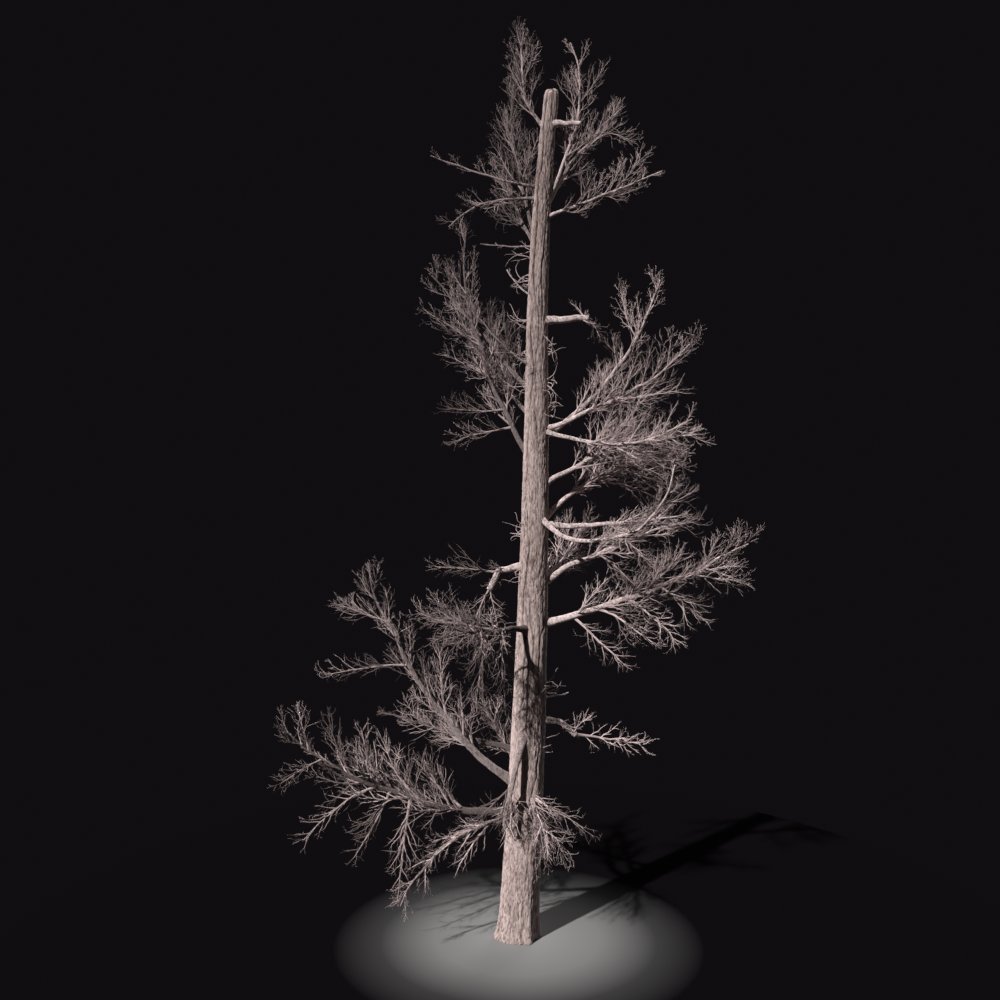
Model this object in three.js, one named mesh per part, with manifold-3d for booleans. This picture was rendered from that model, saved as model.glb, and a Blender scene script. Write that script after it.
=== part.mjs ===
// A dead conifer, about 15 m tall: a tapering trunk with a broken top, its boughs, and the twigs they carry.
// Millimetres and degrees, +Z up. The origin is the middle of the flat cut at ground level.
// A bearing is measured from +X toward +Y.
import * as THREE from 'three';
import { mergeVertices } from 'three/addons/utils/BufferGeometryUtils.js';
import Module from 'manifold-3d';

const wasm = await Module();
wasm.setup();

// Trunk
const TRUNK_HEIGHT = 14860;
const FOOT_RADIUS = 355;
const TAPER = 0.0155;
const LEAN = 0.031;
const BOW = 80;
const BOW_HEIGHT = 11000;
const KINK_HEIGHT = 11200;
const KINK_SPAN = 3660;
const KINK_SHIFT = 140;
const SWAY = 40;
const FLARE = 22;
const FLARE_HEIGHT = 180;
const TRUNK_SIDES = 24;
const TRUNK_RINGS = 16;
const RING_CROWDING = 1.5;
const BREAK_HEIGHT = 150;
const BREAK_LOBE = 38;
const BREAK_NARROWING = 0.62;

// Ridges of the root flare, and the hollow between two of them: bearing, width in degrees, how far each stands
// out at the ground, and the height over which it fades.
const FLARE_RIDGES = [
  { bearing: 188, width: 24, out: 66, height: 180 },
  { bearing: 300, width: 15, out: 52, height: 260 },
  { bearing: 328, width: 17, out: -52, height: 1100 },
  { bearing: 358, width: 22, out: 48, height: 260 },
  { bearing: 75, width: 40, out: 45, height: 180 },
];

// Gaps between pieces, and the room that a twig keeps round it
const SEAT_GAP = 0.3;
const TRUNK_ROOM = 40;
const LIMB_ROOM = 40;
const SPACE_ROOM = 45;
const GROUND_ROOM = 60;

// Growth of boughs and twigs
const SPINE_STEPS = 8;
const FAN_STEPS = 4;
const SPINE_CROOK = 7;
const TIP_RADIUS = 10;
const LIMB_BARE = 0.15;
const GOLDEN_ANGLE = 137.5;
const LIMB_SIDES = 6;
const STEM_SIDES = 4;
const TWIG_SIDES = 3;
const ARM = { steps: 2, fork: 40, crook: 0.14, bend: 0.26, follow: 0.2, first: 0.1, taper: 0.6 };
const TWIG = { steps: 2, fork: 33, crook: 0.14, bend: 0.18, follow: 0.15, first: 0.12, taper: 0.6 };
const ARM_GIRTH = 0.5;
const ARM_THICKNESS = 12;
const ARM_STOUTNESS = 0.016;
const TWIG_GIRTH = 0.5;
const TWIG_TAPER = 0.75;
const TWIG_SHARE = 0.62;
const TWIG_REACH = 560;
const TWIG_HANG = 0.6;
const TWIG_SPACING = 110;
const TWIGS_AT_LEAST = 4;
const TWIG_STRIDE = 12;
const TWIG_OFFSET = 3;
const TWIG_ARM_LENGTH = 550;
const TWIG_LEAST_RADIUS = 6;
const FORK_SPREAD = 12;
const ROLL_SPREAD = 25;
const SHORTEST = 0.65;
const LENGTH_RANGE = 0.7;
const LAST_TWIG = 0.985;

const WOOD = { color: 0xa6948f, roughness: 0.93, metalness: 0 };
const TWIG_WOOD = { color: 0x8f7d77, roughness: 0.95, metalness: 0 };

// The boughs. Each leaves the trunk's axis at a height and bearing, starts with one rise and ends with
// another (lift), and has a length, a girth (radius at the axis), the share of it that is bare, a number
// of side arms, the reach of its longest arm, and how its twigs turn up (hang over 0) or down (under 0).
// Where it has a swing, its bearing turns by that many degrees from root to tip.
function bough(name, height, bearing, rise, lift, length, girth, bare, arms, reach, hang, more = {}) {
  const shape = { height, bearing, rise, lift, length, girth, bare, late: 1 };
  return { name, ...shape, arms, reach, hang, fans: [], ...more };
}

// A fan is a long side arm of a bough: the share of the bough where it leaves, its bearing, rise, lift
// and length.
function fan(share, bearing, rise, lift, length) {
  return { share, bearing, rise, lift, length };
}

const BOUGHS = [
  bough('top_left_leader', 14100, 176, 36, 96, 1890, 32, 0.14, 10, 720, 0.5, { late: 0.55 }),
  bough('top_left_inner', 12130, 158, 58, 92, 2950, 36, 0.14, 11, 900, 0.5, { late: 0.7 }),
  bough('top_left_back', 11830, 150, 62, 66, 2100, 36, 0.14, 8, 800, 0.4),
  bough('top_left_long', 13130, 184, 4, 26, 2050, 28, 0, 6, 550, 0.3),
  bough('top_left_droop', 12880, 196, 10, -44, 1850, 28, 0, 7, 620, 0.2),
  bough('top_right_up', 12560, 0, 64, 122, 3250, 36, 0.3, 8, 640, 0.4,
    {
      late: 3,
      fans: [fan(0.36, -15, 34, 40, 1100), fan(0.58, 180, 72, 84, 850), fan(0.66, -20, 50, 50, 700)],
    }),
  bough('top_right_fork', 12590, 26, 68, 42, 2750, 34, 0.14, 9, 720, 0.3,
    { fans: [fan(0.75, -25, -6, -40, 750)] }),
  bough('top_right_out', 12530, -14, 25, 18, 2200, 34, 0.14, 9, 650, 0.5,
    { fans: [fan(0.6, -10, 42, 50, 800)] }),
  bough('stub_top', 14200, -20, -2, -8, 600, 50, 1, 0, 0, 0, { blunt: 40 }),
  bough('left_wisp', 12080, 183, 3, 6, 1050, 14, 0, 3, 250, 0),
  bough('left_spur', 11180, 190, 18, 60, 750, 16, 0, 3, 260, 0),
  bough('mid_left', 8230, 178, 51, 90, 4400, 50, 0.15, 12, 900, 0.45,
    {
      late: 0.8,
      fans: [
        fan(0.18, 186, -14, -16, 1050), fan(0.53, 190, 30, 34, 1200), fan(0.26, 186, -4, 2, 950),
        fan(0.4, 190, 22, 30, 900),
      ],
    }),
  bough('mid_left_up', 9380, 165, 46, 54, 3000, 42, 0.14, 9, 900, 0.3),
  bough('mid_left_front', 9930, 195, 30, 50, 1400, 26, 0.1, 5, 400, 0.4),
  bough('mid_back', 9030, 132, 35, 50, 2600, 40, 0.14, 9, 800, 0.3),
  bough('stub_mid', 10780, -15, -3, 2, 910, 62, 0.8, 3, 300, 0.3,
    { blunt: 54, fans: [fan(0.93, 180, 62, 30, 380), fan(0.97, 0, -52, -62, 450)] }),
  bough('right_fork_up', 8680, 6, 28, 72, 3700, 50, 0.3, 11, 850, 0.5,
    { late: 0.6, fans: [fan(0.7, 160, 60, 80, 900)] }),
  bough('right_fork_out', 8850, -14, 12, 46, 3050, 46, 0.2, 13, 950, 0.35,
    { fans: [fan(0.5, -10, 2, 8, 1150)] }),
  bough('right_sweep', 8880, -32, -22, 24, 2950, 42, 0.26, 10, 750, 0),
  bough('right_inner', 7730, -10, 38, 0, 3050, 52, 0.24, 14, 1100, 0,
    { fans: [fan(0.42, -5, -16, -20, 1200), fan(0.6, 5, -28, -24, 1100)] }),
  bough('right_behind', 7130, 10, 50, -6, 3150, 52, 0.26, 13, 1050, 0,
    { fans: [fan(0.45, 0, -10, -34, 1300), fan(0.62, 10, -26, -10, 1200)] }),
  bough('right_front', 7430, -45, -42, 74, 3700, 48, 0.34, 11, 880, 0.3,
    { late: 1.1, fans: [fan(0.66, -10, 6, 10, 950), fan(0.8, -10, 24, 26, 650)] }),
  bough('right_thick', 7180, -15, -3, 14, 2500, 60, 0.5, 6, 800, 0,
    { fans: [fan(0.52, -15, -38, -50, 900)] }),
  bough('right_lower', 6120, 2, 32, 14, 2850, 62, 0.3, 9, 900, -0.1,
    { fans: [fan(0.45, -10, -24, -50, 900), fan(0.62, -10, -30, -40, 800)] }),
  bough('right_long', 5430, -8, 12, 30, 4020, 72, 0.15, 12, 950, 0.05,
    {
      fans: [
        fan(0.18, -12, -34, -46, 1250), fan(0.29, -14, -20, -38, 1250), fan(0.43, -8, -28, -50, 1150),
        fan(0.58, -8, -26, -40, 1050), fan(0.7, -12, 2, -14, 950), fan(0.78, -8, -8, -24, 800),
        fan(0.53, -4, 50, 44, 900),
      ],
    }),
  bough('back_mid', 6080, 62, 18, 36, 2600, 50, 0.2, 10, 900, 0.1),
  bough('right_stub', 3760, -10, -3, -3, 920, 52, 0.45, 3, 300, 0,
    {
      kink: { share: 0.62, rise: -38 },
      blunt: 46,
      fans: [fan(0.97, 0, -4, -12, 1250), fan(0.94, -10, 64, 30, 450)],
    }),
  bough('right_wisp', 4130, 20, 5, 10, 750, 14, 0, 3, 200, 0),
  bough('right_skirt', 2600, -74, -22, -40, 1300, 32, 0.1, 11, 750, -0.5,
    {
      fans: [
        fan(0.25, -20, -14, -34, 1150), fan(0.45, -35, -38, -60, 1000), fan(0.5, -60, -65, -80, 850),
        fan(0.3, -70, -75, -85, 1200),
      ],
    }),
  bough('shade_front', 5380, 240, -2, 8, 2600, 60, 0.34, 12, 950, -0.3,
    {
      fans: [
        fan(0.38, 60, -84, -88, 1450), fan(0.56, 200, -74, -86, 1450), fan(0.44, 188, 4, 26, 1350),
        fan(0.7, 190, 34, 44, 900),
      ],
    }),
  bough('left_long', 2580, 175, 35, 78, 5000, 80, 0.2, 13, 900, 0.2,
    {
      late: 1.5,
      fans: [fan(0.6, 186, 0, -10, 1450), fan(0.77, 186, 24, 14, 950), fan(0.37, 170, 84, 90, 1250)],
    }),
  bough('left_low', 2180, 190, -6, 42, 4650, 78, 0.2, 14, 1100, 0.25,
    {
      late: 0.7,
      fans: [
        fan(0.57, 194, -14, -58, 1550), fan(0.44, 200, -78, -84, 1800), fan(0.4, 184, 50, 66, 1300),
        fan(0.86, 188, 76, 76, 750), fan(0.8, 190, -20, -30, 800), fan(0.52, 200, -58, -58, 1300),
        fan(0.28, 182, 56, 72, 1000), fan(0.56, 184, 66, 80, 1100),
      ],
    }),
  bough('left_back', 3130, 140, 9, 6, 3700, 56, 0.28, 10, 700, 0.1),
  bough('front_droop', 3760, 262, 10, -84, 1900, 64, 0.6, 8, 700, -0.3,
    { late: 0.25, swing: -75, blunt: 32 }),
  bough('left_droop', 2080, 205, 7, -66, 2750, 50, 0.2, 11, 800, -0.35,
    { late: 1.2, fans: [fan(0.24, 215, -36, -48, 900)] }),
  bough('back_low', 2630, 108, 18, 25, 2600, 60, 0.25, 8, 900, 0),
  bough('elbow', 6450, 185, -4, -4, 1000, 56, 0.42, 3, 380, -0.1,
    {
      kink: { share: 0.6, rise: -62 },
      blunt: 52,
      fans: [fan(0.66, 186, 8, 8, 1100), fan(0.97, 20, -72, -80, 550), fan(0.94, 195, -60, -68, 800)],
    }),
];

// Seeded numbers between 0 and 1.
class Dice {
  constructor(seed) {
    this.state = (seed % 2147483646) + 1;
    this.roll();
    this.roll();
  }

  roll() {
    this.state = (this.state * 16807) % 2147483647;
    return this.state / 2147483647;
  }

  spread(size) {
    return (2 * this.roll() - 1) * size;
  }
}

function childSeed(seed, index) {
  return (seed * 31 + index * 7919 + 104729) % 2147483647;
}

function radians(degrees) {
  return (degrees * Math.PI) / 180;
}

function vector(x, y, z) {
  return new THREE.Vector3(x, y, z);
}

// The trunk's axis at a height.
function trunkAxis(z) {
  const kink = Math.max(0, (z - KINK_HEIGHT) / KINK_SPAN);
  const bow = BOW * Math.sin((Math.PI * Math.min(z, BOW_HEIGHT)) / BOW_HEIGHT);
  return vector(LEAN * z + bow + KINK_SHIFT * kink * kink, SWAY * Math.sin((Math.PI * z) / TRUNK_HEIGHT), z);
}

// The trunk's radius at a height and angle, with the root flare and its ridges.
function flaredRadius(z, angle) {
  let radius = FOOT_RADIUS - TAPER * z + FLARE * Math.exp(-z / FLARE_HEIGHT);
  for (const ridge of FLARE_RIDGES) {
    const off = Math.abs(((angle - radians(ridge.bearing) + 3 * Math.PI) % (2 * Math.PI)) - Math.PI);
    radius += ridge.out * Math.exp(-((off / radians(ridge.width)) ** 2) - z / ridge.height);
  }
  return radius;
}

// A closed geometry as a solid, after its vertices are placed by a function.
function solidOf(geometry, place) {
  geometry.deleteAttribute('normal');
  geometry.deleteAttribute('uv');
  const merged = mergeVertices(geometry);
  const spots = merged.attributes.position;
  for (let i = 0; i < spots.count; i += 1) {
    const spot = place(spots.getX(i), spots.getY(i), spots.getZ(i));
    spots.setXYZ(i, spot.x, spot.y, spot.z);
  }
  return new wasm.Manifold(new wasm.Mesh({
    numProp: 3,
    vertProperties: new Float32Array(spots.array),
    triVerts: new Uint32Array(merged.index.array),
  }));
}

// The trunk, standing out by a margin: rings close together at the flare, and a rounded two-lobed broken top.
function trunkSolid(margin) {
  const geometry = new THREE.CylinderGeometry(1, 1, 1, TRUNK_SIDES, TRUNK_RINGS);
  return solidOf(geometry, (x, y, z) => {
    const ring = Math.round((y + 0.5) * TRUNK_RINGS);
    const inside = Math.hypot(x, z) < 0.5;
    const angle = Math.atan2(-z, x);
    let height = (TRUNK_HEIGHT - BREAK_HEIGHT) * (ring / (TRUNK_RINGS - 1)) ** RING_CROWDING;
    let radius = inside ? 0 : flaredRadius(height, angle) + margin;
    if (ring === TRUNK_RINGS) {
      height = TRUNK_HEIGHT - (inside ? BREAK_LOBE : 0) + margin;
      radius *= BREAK_NARROWING;
    }
    if (ring >= TRUNK_RINGS - 1 && !inside) {
      height += BREAK_LOBE * (Math.cos(2 * angle) - 1);
    }
    const middle = trunkAxis(height);
    return vector(middle.x + radius * Math.cos(angle), middle.y + radius * Math.sin(angle), height);
  });
}

// Points of a path that starts at a place and is steered by a bearing and a rise.
function steeredPath(start, way, steps, seed) {
  const dice = new Dice(seed);
  const points = [start];
  for (let i = 0; i < steps; i += 1) {
    const share = (i + 0.5) / steps;
    let climb = way.rise + (way.lift - way.rise) * share ** (way.late ?? 1);
    if (way.kink && share > way.kink.share) {
      climb = way.kink.rise;
    }
    const rise = radians(climb + dice.spread(SPINE_CROOK));
    const bearing = radians(way.bearing + (way.swing ?? 0) * share + dice.spread(SPINE_CROOK));
    const level = Math.cos(rise);
    const step = vector(level * Math.cos(bearing), level * Math.sin(bearing), Math.sin(rise));
    points.push(points[i].clone().addScaledVector(step, way.length / steps));
  }
  return points;
}

// The place and the heading at a share of a path.
function along(points, share) {
  const spot = Math.min(share * (points.length - 1), points.length - 1.0001);
  const i = Math.floor(spot);
  return {
    place: points[i].clone().lerp(points[i + 1], spot - i),
    heading: points[i + 1].clone().sub(points[i]).normalize(),
  };
}

// A heading turned away by a fork angle, on the side that a roll angle gives.
function turned(heading, fork, roll) {
  const up = Math.abs(heading.z) < 0.9 ? vector(0, 0, 1) : vector(1, 0, 0);
  const side = heading.clone().cross(up).normalize();
  const rise = side.clone().cross(heading);
  return heading.clone().multiplyScalar(Math.cos(radians(fork)))
    .addScaledVector(side, Math.cos(radians(roll)) * Math.sin(radians(fork)))
    .addScaledVector(rise, Math.sin(radians(roll)) * Math.sin(radians(fork)));
}

// Side twigs of a path, each with its points, its length and its own seed.
function sideTwigs(points, first, count, reach, kind, seed, hang) {
  const twigs = [];
  for (let i = 0; i < count; i += 1) {
    const own = childSeed(seed, i);
    const dice = new Dice(own);
    const share = first + ((LAST_TWIG - first) * (i + 0.25 + 0.5 * dice.roll())) / count;
    const root = along(points, share);
    const fullness = 1 - (kind.taper * (share - first)) / (1 - first);
    const length = reach * fullness * (SHORTEST + LENGTH_RANGE * dice.roll());
    const fork = kind.fork + dice.spread(FORK_SPREAD);
    const roll = GOLDEN_ANGLE * i + dice.spread(ROLL_SPREAD) + (seed % 360);
    const heading = turned(root.heading, fork, roll);
    const path = [root.place];
    for (let step = 0; step < kind.steps; step += 1) {
      heading.x += dice.spread(kind.crook);
      heading.y += dice.spread(kind.crook);
      heading.z += dice.spread(kind.crook) + (kind.bend + hang) / kind.steps;
      heading.addScaledVector(root.heading, kind.follow / kind.steps).normalize();
      path.push(path[step].clone().addScaledVector(heading, length / kind.steps));
    }
    twigs.push({ points: path, length, seed: own, share, index: i });
  }
  return twigs;
}

// A bough's arms: its fans first, then the side arms.
function armsOf(branch) {
  const fans = branch.fans.map((way, i) => {
    const seed = childSeed(branch.seed, 500 + i);
    const start = along(branch.spine, way.share).place;
    return { points: steeredPath(start, way, FAN_STEPS, seed), length: way.length, seed, share: way.share };
  });
  const first = Math.max(branch.bare, ARM.first);
  const arms = sideTwigs(branch.spine, first, branch.arms, branch.reach, ARM, branch.seed, branch.hang);
  return [...fans, ...arms];
}

function boughRadius(branch, share) {
  const tip = branch.blunt ?? TIP_RADIUS;
  return branch.girth + (tip - branch.girth) * share;
}

function armRadius(branch, arm) {
  return Math.min(ARM_GIRTH * boughRadius(branch, arm.share), ARM_THICKNESS + ARM_STOUTNESS * arm.length);
}

// A closed tube along a path between two shares of it. Its radius is a function of the share, and a tube that
// ends in a point has one vertex there.
function tube(points, from, to, sides, radiusAt, pointed) {
  const shares = [from];
  const steps = points.length - 1;
  for (let i = 1; i < steps; i += 1) {
    if (i / steps > from + 0.25 / steps && i / steps < to - 0.25 / steps) {
      shares.push(i / steps);
    }
  }
  shares.push(to);
  const whole = points[steps].clone().sub(points[0]).normalize();
  const sizes = [Math.abs(whole.x), Math.abs(whole.y), Math.abs(whole.z)];
  const across = vector(0, 0, 0).setComponent(sizes.indexOf(Math.min(...sizes)), 1);
  const rings = shares.map((share, i) => {
    const { place, heading } = along(points, share);
    if (i > 0 && i < shares.length - 1) {
      heading.add(along(points, share - 0.5 / steps).heading).normalize();
    }
    const side = heading.clone().cross(across).normalize();
    return { place, side, other: side.clone().cross(heading), radius: radiusAt(share) };
  });
  const geometry = new THREE.CylinderGeometry(pointed ? 0 : 1, 1, 1, sides, rings.length - 1);
  return solidOf(geometry, (x, y, z) => {
    const ring = rings[Math.round((y + 0.5) * (rings.length - 1))];
    const out = Math.hypot(x, z);
    const spot = ring.place.clone();
    if (out > 1e-4) {
      spot.addScaledVector(ring.side, (ring.radius * x) / out);
      spot.addScaledVector(ring.other, (ring.radius * z) / out);
    }
    return spot;
  });
}

// The largest body of a solid, with no loose scrap and no sealed hollow.
function largestBody(solid) {
  const bodies = solid.decompose();
  return bodies.reduce((best, body) => (body.volume() > best.volume() ? body : best));
}

function pathDistance(spot, points) {
  const foot = vector(0, 0, 0);
  let best = Infinity;
  for (let i = 0; i < points.length - 1; i += 1) {
    new THREE.Line3(points[i], points[i + 1]).closestPointToPoint(spot, true, foot);
    best = Math.min(best, foot.distanceTo(spot));
  }
  return best;
}

function skeletonDistance(spot, branch) {
  return Math.min(...branch.skeleton.map((points) => pathDistance(spot, points)));
}

// Whether a twig keeps to the space of its own bough: clear of the ground, the trunk and every other limb,
// and nearer to its own bough than to any other.
function keepsToSpace(points, branch) {
  for (let i = 1; i <= 2 * (points.length - 1); i += 1) {
    const spot = along(points, i / (2 * (points.length - 1))).place;
    const axis = trunkAxis(Math.min(spot.z, TRUNK_HEIGHT));
    if (spot.z < GROUND_ROOM || axis.distanceTo(spot) < flaredRadius(axis.z, 0) + TRUNK_ROOM) {
      return false;
    }
    const own = skeletonDistance(spot, branch);
    for (const other of branches.filter((one) => one !== branch)) {
      if (skeletonDistance(spot, other) < Math.max(own + SPACE_ROOM, other.girth + LIMB_ROOM)) {
        return false;
      }
    }
  }
  return true;
}

// The side twigs of an arm, each standing for a spray of finer ones. A short arm has none.
function spraysOf(arm, hang) {
  if (arm.length < TWIG_ARM_LENGTH) {
    return [];
  }
  const count = TWIGS_AT_LEAST + Math.floor(arm.length / TWIG_SPACING);
  const reach = Math.min(arm.length * TWIG_SHARE, TWIG_REACH);
  const twigs = sideTwigs(arm.points, TWIG.first, count, reach, TWIG, arm.seed, hang);
  return twigs.filter((twig) => twig.index % TWIG_STRIDE === TWIG_OFFSET);
}

// The mass of twigs at the end of a bough, or all of it where the bough has no limb of its own.
function massSolid(branch, trunk) {
  const from = branch.bare < LIMB_BARE ? 0 : branch.bare + SEAT_GAP / branch.length;
  let solid = tube(branch.spine, from, 1, STEM_SIDES, (share) => boughRadius(branch, share), true);
  for (const arm of armsOf(branch).filter((one) => keepsToSpace(one.points, branch))) {
    const root = armRadius(branch, arm);
    const taper = (share) => root * (1 - TWIG_TAPER * share);
    solid = solid.add(tube(arm.points, 0, 1, TWIG_SIDES, taper, true));
    const sprays = spraysOf(arm, branch.hang * TWIG_HANG);
    for (const twig of sprays.filter((one) => keepsToSpace(one.points, branch))) {
      const line = [twig.points[0], twig.points[TWIG.steps]];
      const radius = Math.max(TWIG_LEAST_RADIUS, TWIG_GIRTH * taper(twig.share));
      solid = solid.add(tube(line, 0, 1, TWIG_SIDES, () => radius, true));
    }
  }
  return largestBody(from === 0 ? solid.subtract(trunk) : solid);
}

function limbSolid(branch, trunk) {
  const radiusAt = (share) => boughRadius(branch, share);
  return largestBody(tube(branch.spine, 0, branch.bare, LIMB_SIDES, radiusAt, false).subtract(trunk));
}

function meshOf(name, solid, finish) {
  const shape = solid.getMesh();
  const geometry = new THREE.BufferGeometry();
  geometry.setAttribute('position', new THREE.BufferAttribute(shape.vertProperties, 3));
  geometry.setIndex(new THREE.BufferAttribute(shape.triVerts, 1));
  geometry.computeVertexNormals();
  const mesh = new THREE.Mesh(geometry, new THREE.MeshStandardMaterial(finish));
  mesh.name = name;
  return mesh;
}

const branches = BOUGHS.map((entry, i) => {
  const seed = 1000 + 97 * i;
  return { ...entry, seed, spine: steeredPath(trunkAxis(entry.height), entry, SPINE_STEPS, seed) };
});
for (const branch of branches) {
  branch.skeleton = [branch.spine, ...armsOf(branch).slice(0, branch.fans.length).map((arm) => arm.points)];
}

const tree = new THREE.Group();
tree.name = 'dead_tree';
tree.add(meshOf('trunk', trunkSolid(0), WOOD));
const grownTrunk = trunkSolid(SEAT_GAP);
for (const branch of branches) {
  if (branch.bare >= LIMB_BARE) {
    tree.add(meshOf(`${branch.name}_limb`, limbSolid(branch, grownTrunk), WOOD));
  }
  if (branch.arms > 0) {
    tree.add(meshOf(`${branch.name}_twigs`, massSolid(branch, grownTrunk), TWIG_WOOD));
  }
}

export default tree;
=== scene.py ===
"""Looks of the dead tree: furrowed bark on the trunk and boughs, and twigs down to their finest tips."""

import math

import bpy
import numpy as np
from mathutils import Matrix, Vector


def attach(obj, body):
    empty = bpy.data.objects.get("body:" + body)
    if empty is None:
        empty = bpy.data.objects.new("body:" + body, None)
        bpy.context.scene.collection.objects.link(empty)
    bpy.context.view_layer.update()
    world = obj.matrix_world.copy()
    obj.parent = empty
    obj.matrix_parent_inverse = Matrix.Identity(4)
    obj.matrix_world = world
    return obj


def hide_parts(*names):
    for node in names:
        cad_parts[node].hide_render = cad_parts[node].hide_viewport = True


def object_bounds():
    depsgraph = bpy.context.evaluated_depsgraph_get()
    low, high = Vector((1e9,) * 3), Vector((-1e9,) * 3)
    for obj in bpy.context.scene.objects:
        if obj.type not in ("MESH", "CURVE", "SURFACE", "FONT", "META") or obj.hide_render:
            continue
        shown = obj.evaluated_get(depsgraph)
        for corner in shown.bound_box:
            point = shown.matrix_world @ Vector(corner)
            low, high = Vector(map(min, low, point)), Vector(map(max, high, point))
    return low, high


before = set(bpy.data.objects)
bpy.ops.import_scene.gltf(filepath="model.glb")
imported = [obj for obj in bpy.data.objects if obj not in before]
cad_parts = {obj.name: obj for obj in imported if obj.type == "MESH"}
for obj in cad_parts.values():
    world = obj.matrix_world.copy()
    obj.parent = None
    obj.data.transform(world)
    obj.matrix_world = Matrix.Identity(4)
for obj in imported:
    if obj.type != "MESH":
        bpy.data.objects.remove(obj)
CAD_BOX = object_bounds()

# ---------------------------------------------------------------- the tree's rule, in millimetres and degrees
TRUNK_HEIGHT = 14860
FOOT_RADIUS = 355
TAPER = 0.0155
LEAN = 0.031
BOW = 80
BOW_HEIGHT = 11000
KINK_HEIGHT = 11200
KINK_SPAN = 3660
KINK_SHIFT = 140
SWAY = 40
FLARE = 22
FLARE_HEIGHT = 180
# Root ridges, and the groove between two of them: bearing, width, depth, height.
FLARE_RIDGES = [(188, 24, 66, 180), (300, 15, 52, 260), (328, 17, -52, 1100), (358, 22, 48, 260),
                (75, 40, 45, 180)]
BREAK_HEIGHT = 150
BREAK_LOBE = 38

# How far twigs stay from the trunk and the ground.
TRUNK_ROOM = 40
GROUND_ROOM = 60

# The boughs, their arms, the twigs on the arms, and the brush of short arms between them.
SPINE_STEPS = 8
FAN_STEPS = 4
SPINE_CROOK = 7
TIP_RADIUS = 10
LIMB_BARE = 0.15
GOLDEN_ANGLE = 137.5
ARM = dict(steps=2, fork=40, crook=0.14, bend=0.26, follow=0.2, first=0.1, taper=0.6)
TWIG = dict(steps=2, fork=33, crook=0.14, bend=0.18, follow=0.15, first=0.12, taper=0.6)
ARM_GIRTH = 0.5
TWIG_SHARE = 0.62
TWIG_REACH = 560
TWIG_HANG = 0.6
TWIG_SPACING = 110
TWIGS_AT_LEAST = 4
BRUSH_FIRST = 0.12
BRUSH_SHARE = 0.9
BRUSH_REACH = 0.62
LAST_TWIG = 0.985
SHORTEST = 0.65
LENGTH_VARIETY = 0.7
FORK_VARIETY = 12
ROLL_VARIETY = 25

# Seeds, and the steps of the random numbers.
FIRST_SEED = 1000
SEED_STEP = 97
FAN_SEED = 500
BRUSH_SEED = 900
MODULUS = 2147483647
MULTIPLIER = 16807


def bough(name, height, bearing, rise, lift, length, girth, bare, arms, reach, hang, late=1, kink=None,
          swing=0, blunt=None, fans=()):
    """A bough from the trunk at a height. It climbs at rise at its root and at lift at its tip, carries arms
    from bare on, and each fan is an arm listed one by one: share, bearing, rise, lift, length."""
    return dict(name=name, height=height, bearing=bearing, rise=rise, lift=lift, length=length, girth=girth,
                bare=bare, arms=arms, reach=reach, hang=hang, late=late, kink=kink, swing=swing,
                blunt=blunt or TIP_RADIUS, fans=fans)


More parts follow.
